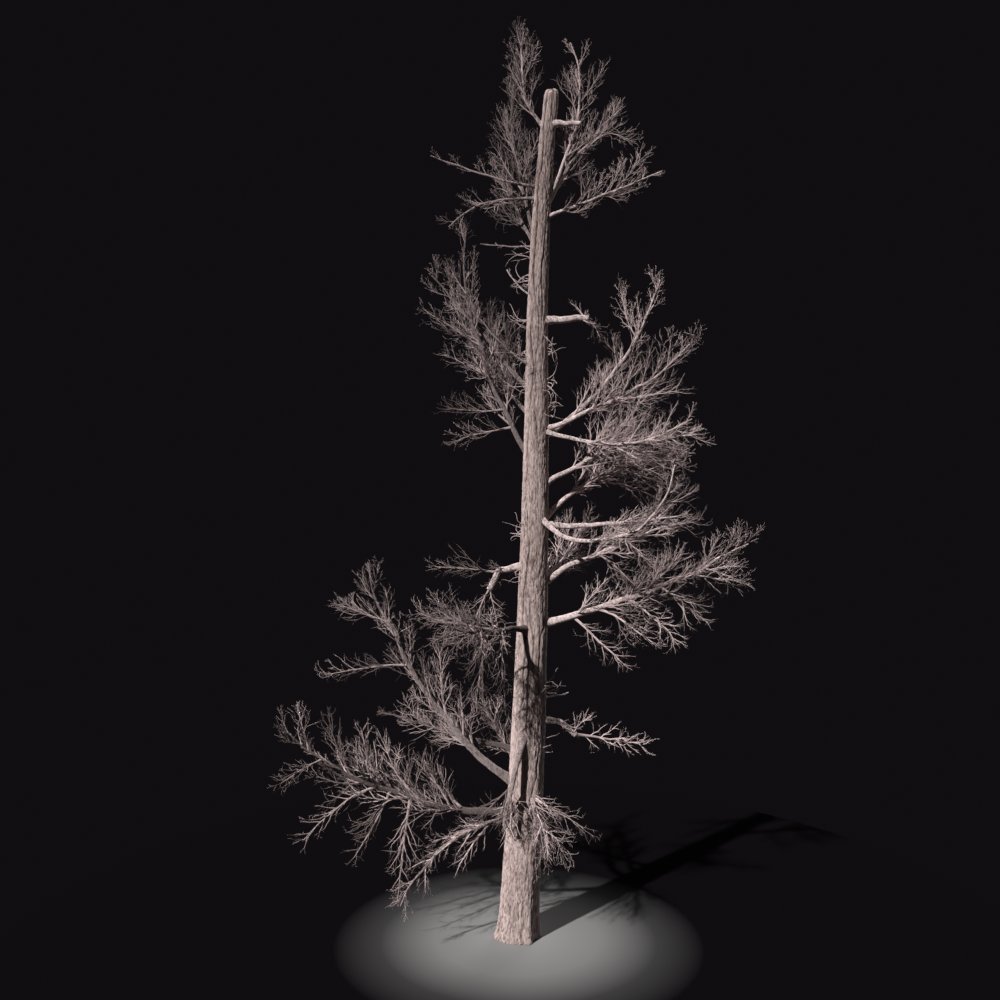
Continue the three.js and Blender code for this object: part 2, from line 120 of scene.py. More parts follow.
BOUGHS = [
    bough("top_left_leader", 14100, 176, 36, 96, 1890, 32, 0.14, 10, 720, 0.5, late=0.55),
    bough("top_left_inner", 12130, 158, 58, 92, 2950, 36, 0.14, 11, 900, 0.5, late=0.7),
    bough("top_left_back", 11830, 150, 62, 66, 2100, 36, 0.14, 8, 800, 0.4),
    bough("top_left_long", 13130, 184, 4, 26, 2050, 28, 0, 6, 550, 0.3),
    bough("top_left_droop", 12880, 196, 10, -44, 1850, 28, 0, 7, 620, 0.2),
    bough("top_right_up", 12560, 0, 64, 122, 3250, 36, 0.3, 8, 640, 0.4, late=3,
          fans=[(0.36, -15, 34, 40, 1100), (0.58, 180, 72, 84, 850), (0.66, -20, 50, 50, 700)]),
    bough("top_right_fork", 12590, 26, 68, 42, 2750, 34, 0.14, 9, 720, 0.3,
          fans=[(0.75, -25, -6, -40, 750)]),
    bough("top_right_out", 12530, -14, 25, 18, 2200, 34, 0.14, 9, 650, 0.5, fans=[(0.6, -10, 42, 50, 800)]),
    bough("stub_top", 14200, -20, -2, -8, 600, 50, 1, 0, 0, 0, blunt=40),
    bough("left_wisp", 12080, 183, 3, 6, 1050, 14, 0, 3, 250, 0),
    bough("left_spur", 11180, 190, 18, 60, 750, 16, 0, 3, 260, 0),
    bough("mid_left", 8230, 178, 51, 90, 4400, 50, 0.15, 12, 900, 0.45, late=0.8,
          fans=[(0.18, 186, -14, -16, 1050), (0.53, 190, 30, 34, 1200), (0.26, 186, -4, 2, 950),
                (0.4, 190, 22, 30, 900)]),
    bough("mid_left_up", 9380, 165, 46, 54, 3000, 42, 0.14, 9, 900, 0.3),
    bough("mid_left_front", 9930, 195, 30, 50, 1400, 26, 0.1, 5, 400, 0.4),
    bough("mid_back", 9030, 132, 35, 50, 2600, 40, 0.14, 9, 800, 0.3),
    bough("stub_mid", 10780, -15, -3, 2, 910, 62, 0.8, 3, 300, 0.3, blunt=54,
          fans=[(0.93, 180, 62, 30, 380), (0.97, 0, -52, -62, 450)]),
    bough("right_fork_up", 8680, 6, 28, 72, 3700, 50, 0.3, 11, 850, 0.5, late=0.6,
          fans=[(0.7, 160, 60, 80, 900)]),
    bough("right_fork_out", 8850, -14, 12, 46, 3050, 46, 0.2, 13, 950, 0.35, fans=[(0.5, -10, 2, 8, 1150)]),
    bough("right_sweep", 8880, -32, -22, 24, 2950, 42, 0.26, 10, 750, 0),
    bough("right_inner", 7730, -10, 38, 0, 3050, 52, 0.24, 14, 1100, 0,
          fans=[(0.42, -5, -16, -20, 1200), (0.6, 5, -28, -24, 1100)]),
    bough("right_behind", 7130, 10, 50, -6, 3150, 52, 0.26, 13, 1050, 0,
          fans=[(0.45, 0, -10, -34, 1300), (0.62, 10, -26, -10, 1200)]),
    bough("right_front", 7430, -45, -42, 74, 3700, 48, 0.34, 11, 880, 0.3, late=1.1,
          fans=[(0.66, -10, 6, 10, 950), (0.8, -10, 24, 26, 650)]),
    bough("right_thick", 7180, -15, -3, 14, 2500, 60, 0.5, 6, 800, 0, fans=[(0.52, -15, -38, -50, 900)]),
    bough("right_lower", 6120, 2, 32, 14, 2850, 62, 0.3, 9, 900, -0.1,
          fans=[(0.45, -10, -24, -50, 900), (0.62, -10, -30, -40, 800)]),
    bough("right_long", 5430, -8, 12, 30, 4020, 72, 0.15, 12, 950, 0.05,
          fans=[(0.18, -12, -34, -46, 1250), (0.29, -14, -20, -38, 1250), (0.43, -8, -28, -50, 1150),
                (0.58, -8, -26, -40, 1050), (0.7, -12, 2, -14, 950), (0.78, -8, -8, -24, 800),
                (0.53, -4, 50, 44, 900)]),
    bough("back_mid", 6080, 62, 18, 36, 2600, 50, 0.2, 10, 900, 0.1),
    bough("right_stub", 3760, -10, -3, -3, 920, 52, 0.45, 3, 300, 0, kink=(0.62, -38), blunt=46,
          fans=[(0.97, 0, -4, -12, 1250), (0.94, -10, 64, 30, 450)]),
    bough("right_wisp", 4130, 20, 5, 10, 750, 14, 0, 3, 200, 0),
    bough("right_skirt", 2600, -74, -22, -40, 1300, 32, 0.1, 11, 750, -0.5,
          fans=[(0.25, -20, -14, -34, 1150), (0.45, -35, -38, -60, 1000), (0.5, -60, -65, -80, 850),
                (0.3, -70, -75, -85, 1200)]),
    bough("shade_front", 5380, 240, -2, 8, 2600, 60, 0.34, 12, 950, -0.3,
          fans=[(0.38, 60, -84, -88, 1450), (0.56, 200, -74, -86, 1450), (0.44, 188, 4, 26, 1350),
                (0.7, 190, 34, 44, 900)]),
    bough("left_long", 2580, 175, 35, 78, 5000, 80, 0.2, 13, 900, 0.2, late=1.5,
          fans=[(0.6, 186, 0, -10, 1450), (0.77, 186, 24, 14, 950), (0.37, 170, 84, 90, 1250)]),
    bough("left_low", 2180, 190, -6, 42, 4650, 78, 0.2, 14, 1100, 0.25, late=0.7,
          fans=[(0.57, 194, -14, -58, 1550), (0.44, 200, -78, -84, 1800), (0.4, 184, 50, 66, 1300),
                (0.86, 188, 76, 76, 750), (0.8, 190, -20, -30, 800), (0.52, 200, -58, -58, 1300),
                (0.28, 182, 56, 72, 1000), (0.56, 184, 66, 80, 1100)]),
    bough("left_back", 3130, 140, 9, 6, 3700, 56, 0.28, 10, 700, 0.1),
    bough("front_droop", 3760, 262, 10, -84, 1900, 64, 0.6, 8, 700, -0.3, late=0.25, swing=-75, blunt=32),
    bough("left_droop", 2080, 205, 7, -66, 2750, 50, 0.2, 11, 800, -0.35, late=1.2,
          fans=[(0.24, 215, -36, -48, 900)]),
    bough("back_low", 2630, 108, 18, 25, 2600, 60, 0.25, 8, 900, 0),
    bough("elbow", 6450, 185, -4, -4, 1000, 56, 0.42, 3, 380, -0.1, kink=(0.6, -62), blunt=52,
          fans=[(0.66, 186, 8, 8, 1100), (0.97, 20, -72, -80, 550), (0.94, 195, -60, -68, 800)]),
]

# The boughs of each region, by the starts of their names.
REGIONS = {
    "crown_left": ("top_left", "left_wisp", "left_spur"),
    "crown_right": ("top_right", "stub_top", "stub_mid"),
    "middle_left": ("mid_", "elbow", "shade_front"),
    "middle_right": ("right_fork", "right_sweep", "right_inner"),
    "middle_back": ("right_behind", "right_front", "right_thick", "back_mid"),
    "low_right": ("right_lower", "right_long", "right_stub", "right_wisp"),
    "low_left": ("left_long", "left_back", "back_low"),
    "low_front": ("left_low", "front_droop", "left_droop", "right_skirt"),
}


class Dice:
    """Random numbers that are the same for the same seed."""

    def __init__(self, seed):
        self.state = seed % (MODULUS - 1) + 1
        self.roll()
        self.roll()

    def roll(self):
        self.state = self.state * MULTIPLIER % MODULUS
        return self.state / MODULUS

    def spread(self, size):
        return (2 * self.roll() - 1) * size


def child_seed(seed, index):
    return (seed * 31 + index * 7919 + 104729) % MODULUS


def trunk_axis(z):
    """The trunk's axis at a height, or at an array of heights."""
    kink = np.maximum(0, (z - KINK_HEIGHT) / KINK_SPAN)
    bow = BOW * np.sin(np.pi * np.minimum(z, BOW_HEIGHT) / BOW_HEIGHT)
    across = LEAN * z + bow + KINK_SHIFT * kink * kink
    return np.stack([across, SWAY * np.sin(np.pi * z / TRUNK_HEIGHT), z + 0.0 * kink], axis=-1)


def angle_apart(a, b):
    """The angle between two directions, from 0 to half a turn, in radians."""
    return np.abs((a - b + 3 * np.pi) % (2 * np.pi) - np.pi)


def flared_radius(z, angle):
    """The trunk's radius at a height, toward an angle, with the flare and ridges at its foot."""
    radius = FOOT_RADIUS - TAPER * z + FLARE * np.exp(-z / FLARE_HEIGHT)
    for bearing, width, out, height in FLARE_RIDGES:
        off = angle_apart(angle, np.radians(bearing))
        radius = radius + out * np.exp(-(off / np.radians(width)) ** 2 - z / height)
    return radius


def steered_path(start, bearing, rise, lift, length, steps, seed, late=1, kink=None, swing=0):
    """A crooked path from a start, as control points, whose climb goes from rise to lift."""
    dice = Dice(seed)
    points = [np.array(start, float)]
    for i in range(steps):
        share = (i + 0.5) / steps
        climb = rise + (lift - rise) * share ** late
        if kink and share > kink[0]:
            climb = kink[1]
        up = math.radians(climb + dice.spread(SPINE_CROOK))
        round_trunk = math.radians(bearing + swing * share + dice.spread(SPINE_CROOK))
        level = math.cos(up)
        step = np.array([level * math.cos(round_trunk), level * math.sin(round_trunk), math.sin(up)])
        points.append(points[-1] + step * length / steps)
    return np.array(points)


def along(points, share):
    """The place on a path of straight pieces at a share of it, and its heading there."""
    spot = min(share * (len(points) - 1), len(points) - 1.0001)
    i = int(spot)
    heading = points[i + 1] - points[i]
    return points[i] + (points[i + 1] - points[i]) * (spot - i), heading / np.linalg.norm(heading)


def turned(heading, fork, roll):
    """A heading that leaves another at the fork's angle, rolled round it."""
    up = np.array([0.0, 0, 1]) if abs(heading[2]) < 0.9 else np.array([1.0, 0, 0])
    side = np.cross(heading, up)
    side /= np.linalg.norm(side)
    rise = np.cross(side, heading)
    c, s = math.cos(math.radians(roll)), math.sin(math.radians(roll))
    return heading * math.cos(math.radians(fork)) + (side * c + rise * s) * math.sin(math.radians(fork))


def side_twigs(points, first, count, reach, kind, seed, hang):
    """Twigs along a path, shorter toward its tip, each with its points, length, seed and share of it."""
    twigs = []
    for i in range(count):
        own = child_seed(seed, i)
        dice = Dice(own)
        share = first + (LAST_TWIG - first) * (i + 0.25 + 0.5 * dice.roll()) / count
        root, lead = along(points, share)
        shorter = 1 - kind["taper"] * (share - first) / (1 - first)
        length = reach * shorter * (SHORTEST + LENGTH_VARIETY * dice.roll())
        fork = kind["fork"] + dice.spread(FORK_VARIETY)
        roll = GOLDEN_ANGLE * i + dice.spread(ROLL_VARIETY) + seed % 360
        heading = turned(lead, fork, roll)
        path = [root]
        for _ in range(kind["steps"]):
            crook = [dice.spread(kind["crook"]) for _ in range(3)]
            heading = heading + np.array(crook) + np.array([0, 0, (kind["bend"] + hang) / kind["steps"]])
            heading = heading + lead * (kind["follow"] / kind["steps"])
            heading = heading / np.linalg.norm(heading)
            path.append(path[-1] + heading * length / kind["steps"])
        twigs.append(dict(points=np.array(path), length=length, seed=own, share=share))
    return twigs


def arms_of(branch):
    """A bough's arms: its fans, then those that the rule sets along its spine."""
    fans = []
    for i, (share, bearing, rise, lift, length) in enumerate(branch["fans"]):
        seed = child_seed(branch["seed"], FAN_SEED + i)
        start = along(branch["spine"], share)[0]
        path = steered_path(start, bearing, rise, lift, length, FAN_STEPS, seed)
        fans.append(dict(points=path, length=length, seed=seed, share=share))
    first = max(branch["bare"], ARM["first"])
    return fans + side_twigs(branch["spine"], first, branch["arms"], branch["reach"], ARM, branch["seed"],
                             branch["hang"])


def bough_radius(branch, share):
    return branch["girth"] + (branch["blunt"] - branch["girth"]) * share


for number, branch in enumerate(BOUGHS):
    root = trunk_axis(np.float64(branch["height"]))
    branch["seed"] = FIRST_SEED + SEED_STEP * number
    branch["spine"] = steered_path(root, branch["bearing"], branch["rise"], branch["lift"], branch["length"],
                                   SPINE_STEPS, branch["seed"], branch["late"], branch["kink"],
                                   branch["swing"])
    branch["all_arms"] = arms_of(branch)


# ---------------------------------------------------------------- noise on arrays of points
def hashed(cells, salt):
    """A number from 0 to 1 for each whole-numbered cell."""
    c = cells.astype(np.int64)
    h = (c[..., 0] * 73856093) ^ (c[..., 1] * 19349663) ^ (c[..., 2] * 83492791) ^ (salt * 2654435761)
    h = h & 0xFFFFFFFF
    h = ((h ^ (h >> 15)) * 2246822519) & 0xFFFFFFFF
    h = ((h ^ (h >> 13)) * 3266489917) & 0xFFFFFFFF
    return ((h ^ (h >> 16)) & 0xFFFFFF) / 16777216.0


def noise(points, salt):
    """Smooth noise from -1 to 1 with a grain of 1."""
    base = np.floor(points)
    f = points - base
    f = f * f * (3 - 2 * f)
    total = 0
    for corner in np.ndindex(2, 2, 2):
        weight = np.prod([f[..., k] if corner[k] else 1 - f[..., k] for k in range(3)], axis=0)
        total = total + weight * hashed(base + np.array(corner), salt)
    return 2 * total - 1


def rough(points, salt):
    """Noise of three sizes at once, from -1 to 1."""
    return sum(noise(points * 2.03 ** k, salt + k) * 0.5 ** k for k in range(3)) / 1.75


def rough3(points, salt, step):
    """Three numbers of noise for each point."""
    return np.stack([rough(points, salt + step * k) for k in range(3)], axis=-1)


def in_grains(points, across, upward):
    """Points in units of a grain that is longer or shorter upward than across."""
    return points / np.array([across, across, upward])


def plates(points, salt):
    """Cells: the room to the nearest crack between plates, and a number of each plate's own."""
    base = np.floor(points)
    near = np.full(points.shape[:-1], 9.0)
    second = near.copy()
    own = np.zeros(points.shape[:-1])
    for corner in np.ndindex(3, 3, 3):
        cell = base + np.array(corner) - 1
        spot = cell + np.stack([hashed(cell, salt + k) for k in range(3)], axis=-1)
        gap = np.linalg.norm(spot - points, axis=-1)
        closer = gap < near
        second = np.where(closer, near, np.minimum(second, gap))
        own = np.where(closer, hashed(cell, salt + 7), own)
        near = np.where(closer, gap, near)
    return second - near, own


# ---------------------------------------------------------------- meshes from arrays
BARK_HEIGHT = "bark_height"


def normal(v):
    return v / np.maximum(np.linalg.norm(v, axis=-1, keepdims=True), 1e-9)


def mesh_object(name, vertices, faces, tones=None, cover=None):
    """A smooth mesh from vertices in millimetres and faces of one size or two."""
    mesh = bpy.data.meshes.new(name)
    faces = [f for f in faces if len(f)]
    counts = np.concatenate([np.full(len(f), f.shape[1]) for f in faces])
    loops = np.concatenate([f.ravel() for f in faces])
    mesh.vertices.add(len(vertices))
    mesh.vertices.foreach_set("co", (np.asarray(vertices) * 0.001).astype(np.float32).ravel())
    mesh.loops.add(len(loops))
    mesh.loops.foreach_set("vertex_index", loops.astype(np.int32))
    mesh.polygons.add(len(counts))
    mesh.polygons.foreach_set("loop_start", np.concatenate([[0], np.cumsum(counts)[:-1]]).astype(np.int32))
    mesh.polygons.foreach_set("use_smooth", np.ones(len(counts), bool))
    if tones is not None:
        mesh.polygons.foreach_set("material_index", tones.astype(np.int32))
    if cover is not None:
        layer = mesh.attributes.new(BARK_HEIGHT, "FLOAT", "POINT")
        layer.data.foreach_set("value", cover.astype(np.float32))
    mesh.update(calc_edges=True)
    mesh.validate()
    made = bpy.data.objects.new(name, mesh)
    bpy.context.scene.collection.objects.link(made)
    return made


def ring_grid(rows, sides):
    """Quads between rows of rings with the same number of vertices, facing out."""
    i = np.arange(rows - 1)[:, None] * sides
    j = np.arange(sides)[None, :]
    k = (j + 1) % sides
    return np.stack([i + j, i + k, i + sides + k, i + sides + j], axis=-1).reshape(-1, 4)


def smooth_path(points, count):
    """A smooth curve through control points (N, K, 3), with count points on each."""
    before = 2 * points[:, :1] - points[:, 1:2]
    after = 2 * points[:, -1:] - points[:, -2:-1]
    padded = np.concatenate([before, points, after], axis=1)
    t = np.linspace(0, points.shape[1] - 1, count)
    i = np.minimum(t.astype(int), points.shape[1] - 2)
    f = (t - i)[None, :, None]
    a, b, c, d = (padded[:, i + k] for k in range(4))
    square, cube = 2 * a - 5 * b + 4 * c - d, 3 * b - a - 3 * c + d
    return 0.5 * (2 * b + (c - a) * f + square * f ** 2 + cube * f ** 3)


def rings_round(paths, radii, sides):
    """Ring vertices (N, K, sides, 3) round paths (N, K, 3), and the direction of each out of its path."""
    tangent = normal(np.gradient(paths, axis=1))
    chord = np.abs(paths[:, -1] - paths[:, 0])
    across = np.eye(3)[np.argmin(chord, axis=1)][:, None]
    side = normal(np.cross(tangent, across))
    other = np.cross(tangent, side)
    angle = np.arange(sides) * 2 * np.pi / sides
    out = side[:, :, None] * np.cos(angle)[:, None] + other[:, :, None] * np.sin(angle)[:, None]
    return paths[:, :, None] + out * radii[:, :, None, None], out


def pointed_tubes(paths, radii, sides):
    """Tubes that end in a point: vertices, quads and tip triangles."""
    n, k = paths.shape[:2]
    rings, _ = rings_round(paths, radii, sides)
    body = rings[:, :-1].reshape(n, -1, 3)
    vertices = np.concatenate([body, paths[:, -1:]], axis=1)
    size = (k - 1) * sides + 1
    quads = ring_grid(k - 1, sides)
    j = np.arange(sides)
    last = (k - 2) * sides
    tips = np.stack([last + j, last + (j + 1) % sides, np.full(sides, size - 1)], axis=-1)
    shift = (np.arange(n) * size)[:, None, None]
    return vertices.reshape(-1, 3), (quads + shift).reshape(-1, 4), (tips + shift).reshape(-1, 3)


# ---------------------------------------------------------------- materials
def shader(name, roughness):
    material = bpy.data.materials.new(name)
    material.use_nodes = True
    nodes, links = material.node_tree.nodes, material.node_tree.links
    principled = nodes["Principled BSDF"]
    principled.inputs["Roughness"].default_value = roughness
    principled.inputs["Specular IOR Level"].default_value = 0.25
    principled.inputs["Diffuse Roughness"].default_value = 1.0
    return material, nodes, links, principled


def multiplied(nodes, links, factor, a, b):
    """Two colours multiplied, by a factor from 0 to 1; either may be a socket or a plain colour."""
    node = nodes.new("ShaderNodeMix")
    node.data_type = "RGBA"
    node.blend_type = "MULTIPLY"
    for socket, value in ((node.inputs[0], factor), (node.inputs[6], a), (node.inputs[7], b)):
        if isinstance(value, bpy.types.NodeSocket):
            links.new(value, socket)
        else:
            socket.default_value = value
    return node.outputs[2]


def mapped_noise(nodes, links, scale, stretch, detail=4.0, roughness=0.6):
    place = nodes.new("ShaderNodeTexCoord")
    mapping = nodes.new("ShaderNodeMapping")
    mapping.inputs["Scale"].default_value = stretch
    links.new(place.outputs["Object"], mapping.inputs["Vector"])
    texture = nodes.new("ShaderNodeTexNoise")
    texture.inputs["Scale"].default_value = scale
    texture.inputs["Detail"].default_value = detail
    texture.inputs["Roughness"].default_value = roughness
    links.new(mapping.outputs["Vector"], texture.inputs["Vector"])
    return texture.outputs["Fac"]


def ramp(nodes, links, source, stops):
    node = nodes.new("ShaderNodeValToRGB")
    links.new(source, node.inputs["Fac"])
    while len(node.color_ramp.elements) < len(stops):
        node.color_ramp.elements.new(0.5)
    for element, (spot, colour) in zip(node.color_ramp.elements, stops):
        element.position = spot
        element.color = colour
    return node.outputs["Color"]


def bumped(nodes, links, principled, height, strength, distance):
    bump = nodes.new("ShaderNodeBump")
    bump.inputs["Strength"].default_value = strength
    bump.inputs["Distance"].default_value = distance
    links.new(height, bump.inputs["Height"])
    links.new(bump.outputs["Normal"], principled.inputs["Normal"])


def grey(value):
    return (value, value, value, 1)


def bark_material(name, stops, streak_scale, bump_distance):
    """Bark coloured by its height from crack to plate, with patches, dark streaks and fine grain."""
    material, nodes, links, principled = shader(name, 0.92)
    height = nodes.new("ShaderNodeAttribute")
    height.attribute_name = BARK_HEIGHT
    plate = ramp(nodes, links, height.outputs["Fac"], stops)
    patches = ramp(nodes, links, mapped_noise(nodes, links, 2.2, (1, 1, 0.5)), [
        (0.3, (0.80, 0.74, 0.73, 1)), (0.52, grey(1.0)), (0.72, (1.12, 1.12, 1.08, 1))])
    streaks = ramp(nodes, links, mapped_noise(nodes, links, streak_scale, (1, 1, 0.3), 6.0, 0.75), [
        (0.36, grey(0.34)), (0.47, grey(0.95)), (0.62, grey(1.36))])
    patched = multiplied(nodes, links, 0.8, plate, patches)
    links.new(multiplied(nodes, links, 0.9, patched, streaks), principled.inputs["Base Color"])
    fine = mapped_noise(nodes, links, 60.0, (1, 1, 0.2), 8.0, 0.72)
    bumped(nodes, links, principled, fine, 0.8, bump_distance)
    return material


def twig_material(name, colour):
    """One plain colour with a faint speckle."""
    material, nodes, links, principled = shader(name, 0.9)
    speckle = mapped_noise(nodes, links, 90.0, (1, 1, 1), 3.0, 0.6)
    shade = ramp(nodes, links, speckle, [(0.35, grey(0.7)), (0.6, grey(1.05))])
    links.new(multiplied(nodes, links, 0.5, colour, shade), principled.inputs["Base Color"])
    bumped(nodes, links, principled, speckle, 0.5, 0.003)
    return material


TRUNK_BARK = bark_material("trunk_bark_wood", [
    (0.0, (0.07, 0.051, 0.048, 1)), (0.35, (0.20, 0.153, 0.144, 1)), (0.7, (0.36, 0.281, 0.265, 1)),
    (1.0, (0.46, 0.362, 0.343, 1))], 34.0, 0.012)
BOUGH_BARK = bark_material("bough_bark_wood", [
    (0.0, (0.075, 0.058, 0.056, 1)), (0.4, (0.33, 0.267, 0.26, 1)), (0.75, (0.54, 0.446, 0.438, 1)),
    (1.0, (0.66, 0.556, 0.546, 1))], 60.0, 0.005)
# Three tones of one twig colour, dealt out at random by spray: partly the twigs' own varied tone, and partly
# painted shade, the mid and dark tones standing in for twigs in shade.
TONES = [twig_material("twig_pale", (0.60, 0.485, 0.476, 1)),
         twig_material("twig_mid_painted_shade", (0.38, 0.296, 0.29, 1)),
         twig_material("twig_dark_painted_shade", (0.16, 0.121, 0.119, 1))]


# ---------------------------------------------------------------- bark
def bark_relief(points, grain, strength, salt):
    """How far the bark stands out, in millimetres, and its height from 0 in a crack to 1 on a plate."""
    warp = rough3(in_grains(points, grain * 1.6, grain * 3.6), salt + 20, 3)
    room, own = plates(in_grains(points, grain, grain * 3.4) + 0.8 * warp, salt)
    worn = np.clip(0.42 + 1.3 * rough(in_grains(points, 420.0, 900.0), salt + 80), 0, 1)
    crack = (1 - np.clip(room / 0.15, 0, 1)) * (0.25 + 0.75 * worn)
    ridges = 1 - np.abs(rough(in_grains(points, grain * 0.75, grain * 7.0) + 0.5 * warp, salt + 40))
    furrow = np.clip((ridges - 0.86) / 0.14, 0, 1)
    grainy = rough(in_grains(points, 14.0, 120.0), salt + 60)
    height = 0.84 - 0.72 * crack - 0.36 * furrow + 0.26 * (own - 0.5)
    return strength * (height - 0.95 + 0.2 * grainy), np.clip(height + 0.22 * grainy, 0, 1)


# ---------------------------------------------------------------- trunk
TRUNK_AROUND = 160
TRUNK_ROWS = 520
CAP_ROWS = 14
CAP_SHORT = 6
LOBE_SPAN = 260
SPLINTER = 42
SPLINTER_SPAN = 170
PLATE_WIDTH = 46.0
BARK_DEPTH = 20.0
THIN_BARK = 130
SWELL = 9.0
# The long seams in the bark: bearing and strength.
SEAMS = [(238, 1.3), (300, 1.1), (272, 0.8), (20, 1.0), (90, 1.2), (160, 1.0)]
SEAM_WANDER = 0.42
SEAM_WIDTH = 15.0
SEAM_DEPTH = 16


def trunk_rows():
    """Heights of the trunk's rings up to and over its rounded top, and the share of its girth in each."""
    shaft = (TRUNK_HEIGHT - BREAK_HEIGHT) * np.linspace(0, 1, TRUNK_ROWS)
    bend = np.linspace(0, 1, CAP_ROWS + 1)[1:] * np.pi / 2
    top = TRUNK_HEIGHT - BREAK_HEIGHT + (BREAK_HEIGHT - CAP_SHORT) * np.sin(bend)
    return np.concatenate([shaft, top]), np.concatenate([np.ones(TRUNK_ROWS), np.cos(bend)])


def near_top(heights, span):
    """From 0 below a span under the break to 1 at the break."""
    return np.clip((heights - TRUNK_HEIGHT + span) / span, 0, 1)


def with_seams(surface, angles, radius, push, height):
    """The relief with the long seams, each of which wavers, fades and opens again on its way up."""
    for bearing, strength in SEAMS:
        middle = np.radians(bearing) + SEAM_WANDER * rough(in_grains(surface, 4000.0, 620.0), 171 + bearing)
        open_here = np.clip(0.55 + 1.7 * rough(in_grains(surface, 4000.0, 900.0), 31 + bearing), 0, 1)
        off = angle_apart(angles, middle) * radius
        seam = strength * open_here * np.exp(-(off / SEAM_WIDTH) ** 2)
        push = push - SEAM_DEPTH * seam
        height = np.clip(height - 0.6 * seam, 0, 1)
    return push, height


def trunk_surface():
    """The trunk's rings with relief, groove and splintered top, and the bark's height at each vertex."""
    heights, girth = trunk_rows()
    around = np.arange(TRUNK_AROUND) * 2 * np.pi / TRUNK_AROUND
    heights, angles = np.meshgrid(heights, around, indexing="ij")
    radius = flared_radius(heights, angles) * girth[:, None]
    out = np.stack([np.cos(angles), np.sin(angles), np.zeros_like(angles)], axis=-1)
    surface = trunk_axis(heights) + out * radius[..., None]
    lobe = BREAK_LOBE * (np.cos(2 * angles) - 1) * near_top(heights, LOBE_SPAN) ** 2
    splinter = SPLINTER * rough(in_grains(surface, 55.0, 120.0), 131) * near_top(heights, SPLINTER_SPAN)
    surface[..., 2] += lobe + splinter
    push, height = bark_relief(surface, PLATE_WIDTH, BARK_DEPTH, 11)
    push, height = with_seams(surface, angles, radius, push, height)
    push = push * np.clip(radius / THIN_BARK, 0.15, 1)
    swell = SWELL * rough(in_grains(surface, 260.0, 700.0), 91) * (girth[:, None] > 0.5)
    surface = surface + out * (push + swell)[..., None]
    surface[..., 2] = np.maximum(surface[..., 2], 0)
    return surface, height


def build_trunk():
    surface, height = trunk_surface()
    rows = len(surface)
    tip = surface[-1].mean(axis=0)[None]
    vertices = np.concatenate([surface.reshape(-1, 3), tip, trunk_axis(np.zeros(1))])
    j = np.arange(TRUNK_AROUND)
    k = (j + 1) % TRUNK_AROUND
    last = (rows - 1) * TRUNK_AROUND
    tip_number = np.full(TRUNK_AROUND, rows * TRUNK_AROUND)
    crown = np.stack([last + j, last + k, tip_number], axis=-1)
    foot = np.stack([k, j, tip_number + 1], axis=-1)
    made = mesh_object("trunk_bark", vertices, [ring_grid(rows, TRUNK_AROUND), crown, foot],
                       cover=np.concatenate([height.ravel(), [0.5, 0.5]]))
    made.data.materials.append(TRUNK_BARK)
    return made


# ---------------------------------------------------------------- boughs
BOUGH_AROUND = 14
BOUGH_STEP = 26
BOUGH_DRIFT = 0.35
DRIFT_GRAIN = 210.0
COLLAR = 0.45
COLLAR_REACH = 90.0
# How light the bark of a bough is painted, as painted shade on boughs that stand in the shade of twigs: the
# lower, the darker; a bough not listed keeps its pale bark.
BOUGH_PAINTED_SHADE = {"shade_front": 0.0, "left_low": 0.05, "left_long": 0.28, "left_back": 0.0, "mid_left": 0.2,
               "mid_left_up": 0.2, "mid_back": 0.25, "mid_left_front": 0.4, "top_left_inner": 0.3,
               "top_left_back": 0.3, "back_low": 0.3, "left_wisp": 0.5, "right_skirt": 0.45,
               "top_left_long": 0.5, "top_left_droop": 0.5, "left_droop": 0.45, "front_droop": 0.45}


def bough_surface(branch):
    """A bough's rings with bark relief and a collar at the trunk, its tip, and the bark's height, lowered as
    painted shade on shaded boughs.
    """
    rows = max(12, int(branch["length"] / BOUGH_STEP))
    path = smooth_path(branch["spine"][None], rows)
    shares = np.linspace(0, 1, rows)
    swing = BOUGH_DRIFT * branch["girth"] * np.minimum(1, 4 * shares * (1.0 - shares))
    path = path + (rough3(path[0] / DRIFT_GRAIN, branch["seed"], 5) * swing[:, None])[None]
    from_trunk = np.linalg.norm(path[0] - path[0, 0], axis=1) - (FOOT_RADIUS - TAPER * branch["height"])
    collar = 1 + COLLAR * np.exp(-np.maximum(from_trunk, 0) / COLLAR_REACH)
    radius = bough_radius(branch, shares) * collar
    rings, out = rings_round(path, radius[None], BOUGH_AROUND)
    grain = max(16.0, branch["girth"] * 0.55)
    push, height = bark_relief(rings[0], grain, branch["girth"] * 0.1, branch["seed"])
    surface = rings[0] + out[0] * (push * (radius / radius.max())[:, None] ** 0.5)[..., None]
    # Painted shade: the bark's height, and so its colour, is lowered on the boughs that stand in shade.
    return surface, path[0, -1][None], height * BOUGH_PAINTED_SHADE.get(branch["name"], 1)


def build_boughs(branches, name):
    """The boughs from the trunk to their tips, one closed tube with bark relief for each."""
    vertices, quads, tris, cover = [], [], [], []
    count = 0
    for branch in branches:
        surface, tip, height = bough_surface(branch)
        rows = len(surface)
        j = np.arange(BOUGH_AROUND)
        k = (j + 1) % BOUGH_AROUND
        last = (rows - 1) * BOUGH_AROUND
        tip_number = np.full(BOUGH_AROUND, last + BOUGH_AROUND)
        vertices += [surface.reshape(-1, 3), tip]
        cover += [height.ravel(), [0.4]]
        quads.append(ring_grid(rows, BOUGH_AROUND) + count)
        tris.append(np.stack([last + j, last + k, tip_number], axis=-1) + count)
        count += rows * BOUGH_AROUND + 1
    made = mesh_object(name, np.concatenate(vertices), [np.concatenate(quads), np.concatenate(tris)],
                       cover=np.concatenate(cover))
    made.data.materials.append(BOUGH_BARK)
    return made


